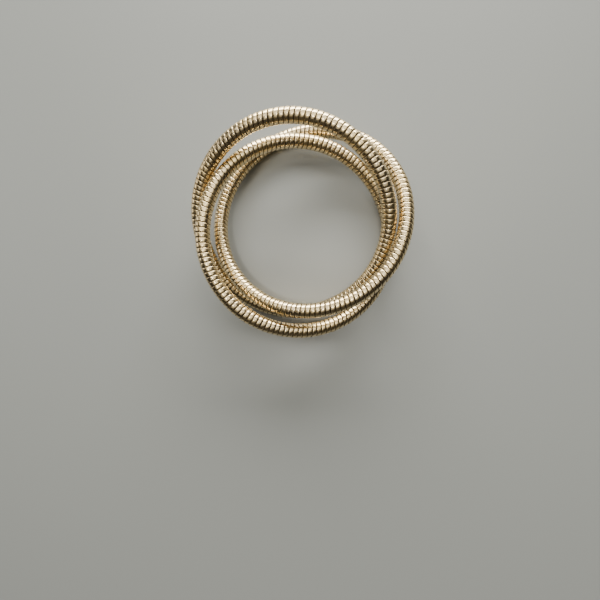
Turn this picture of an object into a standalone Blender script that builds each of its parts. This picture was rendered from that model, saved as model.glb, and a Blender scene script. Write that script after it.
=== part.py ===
"""Rolling coil bracelet: three equal gold coil hoops, linked through each other, on a table.

Each hoop is one strip wound into a round coil and closed into a ring, so its surface is a fine
screw of ribs. The three hoops pass over and under each other in turn: each lies over its
neighbour where it runs outward and under the other where it runs inward. No clasp, no free end.
Each hoop touches the table at one place and leans against the others, so the bracelet is open
and stands a few coils high. Metres, +Z up. The origin is on the table, at the middle of the
wrist opening.
"""
import math

import bpy
import numpy as np
from mathutils import Matrix

# Sizes of one hoop
HOOP_RADIUS = 0.0330        # from the hoop's axis to the middle of the coil
COIL_DIAMETER = 0.0050      # over the crests of the ribs
RIB_DEPTH = 0.00035         # from a crest to the bottom of a groove
RIB_COUNT = 126             # turns of the strip in one hoop
COIL_SIDES = 10             # flats around the coil

# How the hoops lie together
HOOP_NAMES = ("first_hoop", "second_hoop", "third_hoop")
HOOP_TILTS = (19.1, 15.4, 13.2)          # degrees, each hoop's lean from level
HOOP_DIRECTIONS = (171.6, 275.2, 31.5)   # degrees from +X, the level line of each hoop
HOOP_SPOTS = ((-0.408, 0.490), (0.232, -0.368), (0.786, 0.982))  # centres from above, in coil diameters
TOUCH_GAP = 0.0003                       # free space where two hoops lean against each other

# Look of the metal
GOLD_COLOUR = (0.83, 0.66, 0.42, 1.0)
GOLD_ROUGHNESS = 0.25


def clear_scene():
    """Removes every object that is already there."""
    for thing in list(bpy.data.objects):
        bpy.data.objects.remove(thing, do_unlink=True)


def gold():
    """Polished pale gold."""
    material = bpy.data.materials.new("gold")
    material.use_nodes = True
    shader = material.node_tree.nodes["Principled BSDF"]
    shader.inputs["Base Color"].default_value = GOLD_COLOUR
    shader.inputs["Metallic"].default_value = 1.0
    shader.inputs["Roughness"].default_value = GOLD_ROUGHNESS
    material.diffuse_color = GOLD_COLOUR
    return material


def coil_mesh(name):
    """One closed coil about the Z axis, with one screw-shaped rib.

    Rings of points alternate between crest and groove. Each point is carried along the hoop as
    its place around the coil grows, by one whole rib in one trip around, which joins each rib to
    the next and makes them all one screw.
    """
    rings = 2 * RIB_COUNT
    points = []
    for ring in range(rings):
        reach = COIL_DIAMETER / 2 - (RIB_DEPTH if ring % 2 else 0.0)
        for side in range(COIL_SIDES):
            along = 2 * math.pi * (ring + 2 * side / COIL_SIDES) / rings
            around = 2 * math.pi * (side + 0.5) / COIL_SIDES
            out = HOOP_RADIUS + reach * math.cos(around)
            points.append((out * math.cos(along), out * math.sin(along), reach * math.sin(around)))

    def number(ring, side):
        """Index of a point. Past the last side it is on the ring one rib further on."""
        if side == COIL_SIDES:
            ring, side = ring + 2, 0
        return (ring % rings) * COIL_SIDES + side

    faces = []
    for ring in range(rings):
        for side in range(COIL_SIDES):
            faces.append((number(ring, side), number(ring + 1, side),
                          number(ring + 1, side + 1), number(ring, side + 1)))
    mesh = bpy.data.meshes.new(name)
    mesh.from_pydata(points, [], faces)
    mesh.update()
    mesh.shade_smooth()
    mesh.set_sharp_from_angle(angle=math.radians(40))
    return mesh


def hoop_centres(spread):
    """Centres of the three hoops as seen from above, from the middle of the wrist opening.

    The opening is widest about the point that is equally far from the three centres.
    """
    spots = np.array(HOOP_SPOTS) * COIL_DIAMETER * spread
    sides = spots[1:] - spots[0]
    middle = np.linalg.solve(2 * sides, (sides * (spots[1:] + spots[0])).sum(axis=1))
    return spots - middle


def stand(index, spread):
    """Place of one hoop: tipped about its level line, with its lowest place on the table.

    It is high a quarter turn before the direction of that line and low a quarter turn after it.
    """
    tilt = math.radians(HOOP_TILTS[index])
    direction = math.radians(HOOP_DIRECTIONS[index])
    height = COIL_DIAMETER / 2 + HOOP_RADIUS * math.sin(tilt)
    centre = Matrix.Translation((*hoop_centres(spread)[index], height))
    return centre @ Matrix.Rotation(direction, 4, "Z") @ Matrix.Rotation(-tilt, 4, "X")


def closest(spread):
    """Least distance between the middle lines of any two hoops."""
    angle = np.linspace(0, 2 * math.pi, 7201)
    ring = np.stack([HOOP_RADIUS * np.cos(angle), HOOP_RADIUS * np.sin(angle), 0 * angle, 1 + 0 * angle])
    least = []
    for index in range(3):
        relative = np.array(stand((index + 1) % 3, spread).inverted() @ stand(index, spread))
        x, y, z, _ = relative @ ring
        least.append(np.hypot(z, np.hypot(x, y) - HOOP_RADIUS).min())
    return float(min(least))


def settled_spread():
    """Smallest spread of the hoops' centres at which the closest two keep the touch gap."""
    wanted = COIL_DIAMETER + TOUCH_GAP
    low, high = 0.5, 0.5
    while closest(high) < wanted:
        low = high
        high += 0.02
        if high > 2:
            raise ValueError("hoops of this size can't pass through each other in this way")
    for _ in range(30):
        middle = (low + high) / 2
        if closest(middle) < wanted:
            low = middle
        else:
            high = middle
    return high


def build():
    """The three hoops on one parent, standing on the table at z = 0."""
    clear_scene()
    spread = settled_spread()
    material = gold()
    mesh = coil_mesh("coil_hoop")
    mesh.materials.append(material)
    corners = np.array([(*v.co, 1.0) for v in mesh.vertices]).T
    bracelet = bpy.data.objects.new("bracelet", None)
    bpy.context.collection.objects.link(bracelet)
    for index, name in enumerate(HOOP_NAMES):
        hoop = bpy.data.objects.new(name, mesh)
        bpy.context.collection.objects.link(hoop)
        hoop.parent = bracelet
        place = stand(index, spread)
        lowest = float((np.array(place) @ corners)[2].min())
        place = Matrix.Translation((0, 0, -lowest)) @ place
        hoop.location = place.to_translation()
        hoop.rotation_mode = "XYZ"
        hoop.rotation_euler = place.to_euler("XYZ")
    bpy.context.view_layer.update()


build()
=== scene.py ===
"""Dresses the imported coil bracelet: three linked hoops of polished gold coil on a pale floor.

Metres, +Z up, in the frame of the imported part.
"""

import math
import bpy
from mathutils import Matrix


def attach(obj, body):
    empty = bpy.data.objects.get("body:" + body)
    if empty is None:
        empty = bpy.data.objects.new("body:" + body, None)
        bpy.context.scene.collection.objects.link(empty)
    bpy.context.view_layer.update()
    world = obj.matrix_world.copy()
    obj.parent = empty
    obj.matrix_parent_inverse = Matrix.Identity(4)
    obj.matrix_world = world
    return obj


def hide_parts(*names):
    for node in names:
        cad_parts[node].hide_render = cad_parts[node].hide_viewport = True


bl_info = {
    "name": "Rolling Coil Bracelet",
    "version": (1, 0, 0),
    "blender": (4, 5, 0),
    "location": "3D View > Sidebar > Bracelet",
    "description": "Makes three linked gold coil hoops, their floor, lights and camera",
    "category": "Object",
}

import bpy
import numpy as np
from bpy.props import FloatProperty, FloatVectorProperty, IntProperty, PointerProperty
from mathutils import Matrix, Vector

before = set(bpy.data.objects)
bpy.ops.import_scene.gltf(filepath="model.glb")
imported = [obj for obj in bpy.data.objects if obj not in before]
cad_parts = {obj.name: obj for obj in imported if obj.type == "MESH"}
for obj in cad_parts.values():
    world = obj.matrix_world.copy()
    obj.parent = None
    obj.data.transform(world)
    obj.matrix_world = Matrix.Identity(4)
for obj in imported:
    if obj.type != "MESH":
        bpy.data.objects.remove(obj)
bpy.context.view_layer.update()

# Each hoop: the new piece, the node that it replaces and the body that it rides on
HOOPS = (
    ("first_coil", "first_hoop", "first"),
    ("second_coil", "second_hoop", "second"),
    ("third_coil", "third_hoop", "third"),
)

# How the ribs of a hoop differ from each other
FIRST_SEED = 11         # of the first hoop's random numbers; the others follow it
RIBS_BACK = 0.05        # how far all ribs are moved back along the hoop, in rib widths
DRIFT_WAVES = 8         # waves around the hoop that add up to the ribs' drift
LEAST_SWING = 0.3       # least height of such a wave, where the most is 1

# Patterns on the strip. A noise's scale counts its patches in a metre, or in a step of the lines.
LINE_STEPS = (16.0, 5.0, 1.0)       # steps over a rib, and once around the coil
LINE_NOISE = {"Scale": 1.0, "Detail": 3.0}
SMEAR_NOISE = {"Scale": 160.0, "Detail": 4.0, "Roughness": 0.6}
SPECK_NOISE = {"Scale": 2600.0, "Detail": 2.0}

# Colour of the strip, with painted shade deep in the grooves
DEEP_RANGE = {"From Min": 0.07, "From Max": 0.30}   # share of the groove's depth where it turns brown
TONE_RANGE = {"To Min": 0.93, "To Max": 1.05}       # brightness of the dullest and brightest rib
WARMTH_RANGE = {"From Min": 0.3, "From Max": 0.7, "To Min": 0.88, "To Max": 1.12}

# Roughness that is added to the polish, and shares of the grain's height
GROOVE_DULLNESS = 0.34
SMEAR_DULLNESS = 0.16
LINE_DULLNESS = 0.10
LINE_HEIGHT = 0.6
SPECK_HEIGHT = 0.4

# Floor and room
FLOOR_HALF = 0.8
FLOOR_LEVEL = -0.0001       # where the lowest ribs end, a little under the frame's own
FLOOR_ROUGHNESS = 0.36
ROOM_LIGHT = {"Color": (1.0, 0.86, 0.68, 1.0), "Strength": 0.016}
BACKDROP = {"Color": (0.97, 0.98, 1.0, 1.0), "Strength": 0.42}

# Each soft light: name, place, width and height, watts and colour
LIGHTS = (
    ("window", (0.04, 0.80, 0.27), (1.00, 0.32), 21.0, (1.0, 0.965, 0.87)),
    ("ceiling", (-0.045, -0.02, 0.80), (0.09, 0.09), 1.10, (1.0, 0.95, 0.83)),
    ("overhead", (0.0, 0.32, 0.80), (1.10, 0.46), 3.4, (1.0, 0.96, 0.83)),
    ("overhead_near", (0.10, -0.16, 0.78), (1.00, 0.36), 0.75, (1.0, 0.95, 0.82)),
    ("left_fill", (-0.72, 0.12, 0.20), (0.40, 0.22), 0.7, (1.0, 0.95, 0.86)),
    ("front_fill", (0.05, -0.80, 0.40), (0.90, 0.40), 0.06, (1.0, 0.88, 0.70)),
)

# Camera, with its right and up directions
CAMERA_PLACE = (0.01139, -0.02109, 0.13343)
CAMERA_RIGHT = (0.99526, 0.00571, -0.09704)
CAMERA_UP = (-0.00952, 0.99920, -0.03882)
FILM_WIDTH = 36.0           # millimetres
NEAREST_SEEN = 0.005
FARTHEST_SEEN = 20.0


class CoilSizes(bpy.types.PropertyGroup):
    """Sizes of one hoop of coil."""

    hoop_radius: FloatProperty(
        name="Hoop radius", description="From the hoop's axis to the middle of the coil",
        default=0.0330, min=0.01, subtype="DISTANCE", unit="LENGTH")
    coil_diameter: FloatProperty(
        name="Coil diameter", description="Thickness of the coil over its ribs",
        default=0.0050, min=0.001, subtype="DISTANCE", unit="LENGTH")
    rib_count: IntProperty(
        name="Ribs", description="Turns of the strip in one hoop", default=126, min=12)
    groove_depth: FloatProperty(
        name="Groove depth", description="From a rib's crest to the bottom of the groove beside it",
        default=0.00045, min=0.0, subtype="DISTANCE", unit="LENGTH")
    rib_flatness: FloatProperty(
        name="Rib flatness",
        description="2 is a round rib, more is a flatter rib with a narrower groove",
        default=3.6, min=1.5, max=8.0)
    rib_points: IntProperty(
        name="Points over a rib", description="Mesh points from one groove to the next",
        default=14, min=4)
    coil_points: IntProperty(
        name="Points around", description="Mesh points once around the coil", default=40, min=8)
    unevenness: FloatProperty(
        name="Unevenness",
        description="How much the ribs differ in height, as a share of the groove depth",
        default=0.06, min=0.0, max=0.5, subtype="FACTOR")
    drift: FloatProperty(
        name="Spacing drift", description="How far ribs wander along the hoop, in rib widths",
        default=0.16, min=0.0, max=0.5, subtype="FACTOR")


class GoldLook(bpy.types.PropertyGroup):
    """Colours and polish of the metal, and the painted shade in its grooves."""

    crest: FloatVectorProperty(
        name="Gold", description="Colour of the polished ribs", subtype="COLOR", size=3,
        default=(0.90, 0.72, 0.43), min=0.0, max=1.0)
    # Painted shade: the dark brown put deep in the grooves, where the ribs shadow each other, not a
    # colour of the metal itself
    groove: FloatVectorProperty(
        name="Groove", description="Painted shade deep in the grooves, where the ribs shadow each other", subtype="COLOR",
        size=3, default=(0.075, 0.042, 0.018), min=0.0, max=1.0)
    polish: FloatProperty(
        name="Roughness", description="Roughness of the polished ribs", default=0.27, min=0.02,
        max=1.0, subtype="FACTOR")
    grain: FloatProperty(
        name="Strip grain", description="Height of the fine lines along the strip",
        default=0.000004, min=0.0, subtype="DISTANCE", unit="LENGTH")


class StageLook(bpy.types.PropertyGroup):
    """Floor and camera."""

    floor: FloatVectorProperty(
        name="Floor", description="Colour of the floor", subtype="COLOR", size=3,
        default=(0.34, 0.36, 0.365), min=0.0, max=1.0)
    lens: FloatProperty(
        name="Lens", description="Focal length of the camera on a 36 mm wide frame",
        default=21.0, min=10.0, subtype="DISTANCE_CAMERA")


def node_place(name):
    """Centre and axes of a hoop of the frame.

    The centre is the middle of its surface. The axis is the direction in which the surface is
    thinnest. The first of the other two axes is level.
    """
    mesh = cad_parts[name].data
    count = len(mesh.polygons)
    spots = np.empty(count * 3)
    areas = np.empty(count)
    mesh.polygons.foreach_get("center", spots)
    mesh.polygons.foreach_get("area", areas)
    spots = spots.reshape(-1, 3)
    centre = areas @ spots / areas.sum()
    away = spots - centre
    _, ways = np.linalg.eigh((away * areas[:, None]).T @ away)
    axis = ways[:, 0] * np.sign(ways[2, 0])
    level = np.cross(axis, (0.0, 0.0, 1.0))
    level /= np.linalg.norm(level)
    return centre, np.stack([level, np.cross(axis, level), axis])


def closed_grid(rows, columns, shift):
    """Faces of a grid that closes both ways.

    The rows close on themselves. One trip over the columns ends shift rows further on.
    """
    row, column = np.meshgrid(np.arange(rows), np.arange(columns), indexing="ij")

    def number(r, c):
        over = c == columns
        return (r + shift * over) % rows * columns + c % columns

    corners = [number(row, column), number(row + 1, column),
               number(row + 1, column + 1), number(row, column + 1)]
    return np.stack(corners, axis=-1).reshape(-1, 4)


def grid_mesh(name, points, faces):
    """A smooth mesh from arrays of points and four-cornered faces."""
    mesh = bpy.data.meshes.new(name)
    mesh.vertices.add(len(points))
    mesh.vertices.foreach_set("co", points.ravel())
    mesh.loops.add(faces.size)
    mesh.loops.foreach_set("vertex_index", faces.ravel().astype(np.int32))
    mesh.polygons.add(len(faces))
    mesh.polygons.foreach_set("loop_start", np.arange(0, faces.size, 4, dtype=np.int32))
    mesh.update(calc_edges=True)
    mesh.polygons.foreach_set("use_smooth", np.ones(len(faces), dtype=bool))
    mesh.update()
    return mesh


def point_values(mesh, name, values):
    """A named number for each point of a mesh."""
    mesh.attributes.new(name, "FLOAT", "POINT").data.foreach_set("value", values.ravel())


def strip_map(mesh, rib, ribs, sides):
    """UV map along the strip: u counts ribs along the hoop, v goes from 0 to 1 around the coil."""
    row, column = np.meshgrid(np.arange(len(rib)), np.arange(sides), indexing="ij")
    edge = np.append(rib, rib[0] + ribs)
    u = np.stack([edge[row], edge[row + 1], edge[row + 1], edge[row]], axis=-1)
    v = np.stack([column, column, column + 1, column + 1], axis=-1) / sides
    strip = mesh.uv_layers.new(name="strip")
    strip.uv.foreach_set("vector", np.stack([u, v], axis=-1).ravel())


def coil_hoop(name, sizes, centre, axes, seed):
    """One closed hoop of coil, wound as a single screw.

    Along the strip, turn = rib + side, where rib counts ribs along the hoop and side goes from
    0 to 1 once around the coil. With c the distance from the rib's crest, 0 on it and 1 in the
    groove, and k the rib's flatness:
        drop = 1 - (1 - c ** k) ** (1 / k)
        reach = coil radius - groove depth * (height * drop + (1 - height) * (1 - drop))
        along = 2 pi (turn - ribs back + drift * wander) / ribs
        around = 2 pi side
    Height is a random number near 1 for each rib, and wander a sum of slow waves along the hoop.
    The point is (hoop radius + reach cos around) out from the axis at the angle along, and
    reach sin around above the hoop's plane.
    """
    ribs, across, sides = sizes.rib_count, sizes.rib_points, sizes.coil_points
    step = np.arange(across) / across * 2 - 1
    over = np.sin(step * math.pi / 2)
    rib = (np.arange(ribs)[:, None] + over / 2).ravel()
    crest = np.tile(np.abs(over), ribs)
    side = np.arange(sides) / sides
    turn = rib[:, None] + side

    chance = np.random.default_rng(seed)
    heights = 1 + sizes.unevenness * chance.uniform(-1, 1, ribs)
    tones = chance.uniform(0, 1, ribs)
    phases = chance.uniform(0, 2 * math.pi, DRIFT_WAVES)
    swings = chance.uniform(LEAST_SWING, 1, DRIFT_WAVES)
    height = np.interp(turn, np.arange(ribs), heights, period=ribs)
    tone = np.interp(turn, np.arange(ribs), tones, period=ribs)
    angle = 2 * math.pi * turn / ribs
    waves = np.sin(angle[..., None] * np.arange(1, DRIFT_WAVES + 1) + phases)
    wander = (swings * waves).sum(axis=-1) / swings.sum()

    k = sizes.rib_flatness
    drop = np.tile((1 - (1 - crest ** k) ** (1 / k))[:, None], (1, sides))
    sunk = height * drop + (1 - height) * (1 - drop)
    reach = sizes.coil_diameter / 2 - sizes.groove_depth * sunk
    along = 2 * math.pi * (turn - RIBS_BACK + sizes.drift * wander) / ribs
    around = 2 * math.pi * side
    out = sizes.hoop_radius + reach * np.cos(around)
    local = np.stack([out * np.cos(along), out * np.sin(along), reach * np.sin(around)], axis=-1)
    points = local.reshape(-1, 3) @ axes + centre

    mesh = grid_mesh(name, points, closed_grid(ribs * across, sides, across))
    # The rib's drop is the mask for the painted shade in the grooves and for their roughness
    point_values(mesh, "groove", drop)
    point_values(mesh, "tone", tone)
    strip_map(mesh, rib, ribs, sides)
    return mesh


def node(tree, kind, at, values=None, **settings):
    """A new shader node with its settings and the values of its inputs."""
    made = tree.nodes.new(kind)
    made.location = at
    for key, value in settings.items():
        setattr(made, key, value)
    for key, value in (values or {}).items():
        made.inputs[key].default_value = value
    return made


def wire(tree, *pairs):
    """Joins sockets, given as (from, to) pairs."""
    for start, end in pairs:
        tree.links.new(start, end)


def sockets(tree, way, **kinds):
    """Sockets of a node group, given as name=kind. An underscore in a name stands for a space."""
    for name, kind in kinds.items():
        tree.interface.new_socket(
            name=name.replace("_", " "), in_out=way, socket_type="NodeSocket" + kind)


def strip_finish():
    """Group for wound metal strip: polished crests, fine lines along the strip, and dull grooves
    darkened with painted shade.

    Groove is 0 on a crest and 1 in a groove. Tone is a number from 0 to 1 that differs from
    rib to rib. Roughness is polish, plus dullness in the grooves, give or take smears and lines.
    Height is the lines and specks together.
    """
    tree = bpy.data.node_groups.new("wound strip finish", "ShaderNodeTree")
    sockets(tree, "INPUT", Crest_Colour="Color", Groove_Colour="Color", Polish="Float",
            Groove="Float", Tone="Float")
    sockets(tree, "OUTPUT", Colour="Color", Roughness="Float", Height="Float")
    given = node(tree, "NodeGroupInput", (-1200, 0))
    result = node(tree, "NodeGroupOutput", (900, 0))

    strip = node(tree, "ShaderNodeUVMap", (-1200, -400), uv_map="strip")
    stretch = node(tree, "ShaderNodeMapping", (-1000, -400), {"Scale": LINE_STEPS})
    lines = node(tree, "ShaderNodeTexNoise", (-800, -400), LINE_NOISE, noise_dimensions="2D")
    place = node(tree, "ShaderNodeTexCoord", (-1200, -750))
    smears = node(tree, "ShaderNodeTexNoise", (-800, -750), SMEAR_NOISE)
    specks = node(tree, "ShaderNodeTexNoise", (-800, -1000), SPECK_NOISE)
    wire(tree,
         (strip.outputs[0], stretch.inputs[0]),
         (stretch.outputs[0], lines.inputs["Vector"]),
         (place.outputs["Object"], smears.inputs["Vector"]),
         (place.outputs["Object"], specks.inputs["Vector"]))

    # Painted shade: deep in a groove the crest colour turns to the dark brown groove shade, and the
    # same mask raises the roughness there
    deep = node(tree, "ShaderNodeMapRange", (-600, 200), DEEP_RANGE,
                interpolation_type="SMOOTHSTEP")
    value = node(tree, "ShaderNodeMapRange", (-850, 500), TONE_RANGE)
    warmth = node(tree, "ShaderNodeMapRange", (-850, 750), WARMTH_RANGE)
    toned = node(tree, "ShaderNodeHueSaturation", (-600, 450))
    colour = node(tree, "ShaderNodeMix", (300, 300), data_type="RGBA")
    wire(tree,
         (given.outputs["Groove"], deep.inputs["Value"]),
         (given.outputs["Tone"], value.inputs["Value"]),
         (smears.outputs["Fac"], warmth.inputs["Value"]),
         (given.outputs["Crest Colour"], toned.inputs["Color"]),
         (value.outputs[0], toned.inputs["Value"]),
         (warmth.outputs[0], toned.inputs["Saturation"]),
         (deep.outputs[0], colour.inputs["Factor"]),
         (toned.outputs[0], colour.inputs["A"]),
         (given.outputs["Groove Colour"], colour.inputs["B"]),
         (colour.outputs["Result"], result.inputs["Colour"]))

    dull = node(tree, "ShaderNodeMath", (-300, 0), {1: GROOVE_DULLNESS}, operation="MULTIPLY_ADD")
    worn = node(tree, "ShaderNodeMath", (-100, -200), {1: SMEAR_DULLNESS}, operation="MULTIPLY_ADD")
    lined = node(tree, "ShaderNodeMath", (100, -200), {1: LINE_DULLNESS}, operation="MULTIPLY_ADD")
    # A noise is 0.5 in the middle, so half of both is taken off again
    evened = node(tree, "ShaderNodeMath", (300, -200), {1: (SMEAR_DULLNESS + LINE_DULLNESS) / 2},
                  operation="SUBTRACT", use_clamp=True)
    wire(tree,
         (deep.outputs[0], dull.inputs[0]),
         (given.outputs["Polish"], dull.inputs[2]),
         (smears.outputs["Fac"], worn.inputs[0]),
         (dull.outputs[0], worn.inputs[2]),
         (lines.outputs["Fac"], lined.inputs[0]),
         (worn.outputs[0], lined.inputs[2]),
         (lined.outputs[0], evened.inputs[0]),
         (evened.outputs[0], result.inputs["Roughness"]))

    fine = node(tree, "ShaderNodeMath", (-100, -600), {1: SPECK_HEIGHT}, operation="MULTIPLY")
    tall = node(tree, "ShaderNodeMath", (100, -500), {1: LINE_HEIGHT}, operation="MULTIPLY_ADD")
    wire(tree,
         (specks.outputs["Fac"], fine.inputs[0]),
         (lines.outputs["Fac"], tall.inputs[0]),
         (fine.outputs[0], tall.inputs[2]),
         (tall.outputs[0], result.inputs["Height"]))
    return tree


def gold_material(look):
    """Polished pale gold over wound strip."""
    material = bpy.data.materials.new("polished_gold_strip")
    material.use_nodes = True
    tree = material.node_tree
    shader = tree.nodes["Principled BSDF"]
    shader.inputs["Metallic"].default_value = 1.0
    given = {"Crest Colour": (*look.crest, 1), "Groove Colour": (*look.groove, 1),
             "Polish": look.polish}
    finish = node(tree, "ShaderNodeGroup", (-500, 200), given, node_tree=strip_finish())
    groove = node(tree, "ShaderNodeAttribute", (-750, 200), attribute_name="groove")
    tone = node(tree, "ShaderNodeAttribute", (-750, 0), attribute_name="tone")
    relief = node(tree, "ShaderNodeBump", (-250, -200), {"Strength": 1.0, "Distance": look.grain})
    wire(tree,
         (groove.outputs["Fac"], finish.inputs["Groove"]),
         (tone.outputs["Fac"], finish.inputs["Tone"]),
         (finish.outputs["Colour"], shader.inputs["Base Color"]),
         (finish.outputs["Roughness"], shader.inputs["Roughness"]),
         (finish.outputs["Height"], relief.inputs["Height"]),
         (relief.outputs["Normal"], shader.inputs["Normal"]))
    return material


def floor_material(look):
    """Plain pale floor with a soft sheen."""
    material = bpy.data.materials.new("pale_floor")
    material.use_nodes = True
    shader = material.node_tree.nodes["Principled BSDF"]
    shader.inputs["Base Color"].default_value = (*look.floor, 1)
    shader.inputs["Roughness"].default_value = FLOOR_ROUGHNESS
    return material


def link(thing):
    """Adds an object to the scene."""
    bpy.context.scene.collection.objects.link(thing)
    return thing


def soft_light(name, place, size, watts, colour):
    """A rectangular soft box that shines from place to the origin and doesn't show itself."""
    lamp = bpy.data.lights.new(name, "AREA")
    lamp.shape = "RECTANGLE"
    lamp.size, lamp.size_y = size
    lamp.energy = watts
    lamp.color = colour
    thing = link(bpy.data.objects.new(name, lamp))
    place = Vector(place)
    turn = place.to_track_quat("Z", "Y").to_matrix().to_4x4()
    thing.matrix_world = Matrix.Translation(place) @ turn
    thing.visible_camera = False


def studio_room():
    """A dim warm room, whose far walls show as a plain pale backdrop."""
    world = bpy.data.worlds.new("studio_room")
    world.use_nodes = True
    tree = world.node_tree
    dim = tree.nodes["Background"]
    for key, value in ROOM_LIGHT.items():
        dim.inputs[key].default_value = value
    pale = node(tree, "ShaderNodeBackground", (0, -200), BACKDROP)
    path = node(tree, "ShaderNodeLightPath", (0, 400))
    mix = node(tree, "ShaderNodeMixShader", (250, 100))
    wire(tree,
         (path.outputs["Is Camera Ray"], mix.inputs["Fac"]),
         (dim.outputs[0], mix.inputs[1]),
         (pale.outputs[0], mix.inputs[2]),
         (mix.outputs[0], tree.nodes["World Output"].inputs["Surface"]))
    return world


def photo_camera(look):
    """Camera close above the wrist opening, a little down and to the right of its middle."""
    lens = bpy.data.cameras.new("photo_camera")
    lens.lens = look.lens
    lens.sensor_width = FILM_WIDTH
    lens.clip_start = NEAREST_SEEN
    lens.clip_end = FARTHEST_SEEN
    thing = link(bpy.data.objects.new("photo_camera", lens))
    right = Vector(CAMERA_RIGHT).normalized()
    back = right.cross(Vector(CAMERA_UP)).normalized()
    up = back.cross(right)
    turn = Matrix((right, up, back)).transposed().to_4x4()
    thing.matrix_world = Matrix.Translation(CAMERA_PLACE) @ turn
    bpy.context.scene.camera = thing


class BRACELET_OT_coil_hoops(bpy.types.Operator):
    """Make the three gold coil hoops in place of the frame's hoops"""

    bl_idname = "bracelet.coil_hoops"
    bl_label = "Coil Hoops"

    def execute(self, context):
        sizes = context.scene.coil_sizes
        gold = gold_material(context.scene.gold_look)
        for seed, (name, replaced, body) in enumerate(HOOPS, FIRST_SEED):
            centre, axes = node_place(replaced)
            mesh = coil_hoop(name, sizes, centre, axes, seed)
            mesh.materials.append(gold)
            piece = link(bpy.data.objects.new(name, mesh))
            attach(piece, body)
            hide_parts(replaced)
        return {"FINISHED"}


class BRACELET_OT_stage(bpy.types.Operator):
    """Make the floor, the soft lights, the dim room and the camera"""

    bl_idname = "bracelet.stage"
    bl_label = "Stage"

    def execute(self, context):
        look = context.scene.stage_look
        mesh = bpy.data.meshes.new("pale_floor")
        signs = ((-1, -1), (1, -1), (1, 1), (-1, 1))
        corners = [(FLOOR_HALF * x, FLOOR_HALF * y, FLOOR_LEVEL) for x, y in signs]
        mesh.from_pydata(corners, [], [(0, 1, 2, 3)])
        mesh.materials.append(floor_material(look))
        link(bpy.data.objects.new("pale_floor", mesh))
        for light in LIGHTS:
            soft_light(*light)
        context.scene.world = studio_room()
        photo_camera(look)
        return {"FINISHED"}


class BRACELET_PT_panel(bpy.types.Panel):
    """Sizes, colours and the two steps that make the bracelet"""

    bl_label = "Coil Bracelet"
    bl_idname = "BRACELET_PT_panel"
    bl_space_type = "VIEW_3D"
    bl_region_type = "UI"
    bl_category = "Bracelet"

    def draw(self, context):
        scene = context.scene
        groups = {"Coil": scene.coil_sizes, "Gold": scene.gold_look, "Stage": scene.stage_look}
        for title, group in groups.items():
            box = self.layout.box()
            box.label(text=title)
            for key in group.__annotations__:
                box.prop(group, key)
        self.layout.operator(BRACELET_OT_coil_hoops.bl_idname)
        self.layout.operator(BRACELET_OT_stage.bl_idname)


CLASSES = (
    CoilSizes,
    GoldLook,
    StageLook,
    BRACELET_OT_coil_hoops,
    BRACELET_OT_stage,
    BRACELET_PT_panel,
)


def register():
    """Registers the classes and puts their settings on the scene."""
    for kind in CLASSES:
        bpy.utils.register_class(kind)
    bpy.types.Scene.coil_sizes = PointerProperty(type=CoilSizes)
    bpy.types.Scene.gold_look = PointerProperty(type=GoldLook)
    bpy.types.Scene.stage_look = PointerProperty(type=StageLook)


def unregister():
    """Takes away what register made."""
    del bpy.types.Scene.stage_look
    del bpy.types.Scene.gold_look
    del bpy.types.Scene.coil_sizes
    for kind in reversed(CLASSES):
        bpy.utils.unregister_class(kind)


def main():
    """Makes the bracelet and its stage."""
    register()
    bpy.ops.bracelet.coil_hoops()
    bpy.ops.bracelet.stage()


if __name__ == "__main__":
    main()
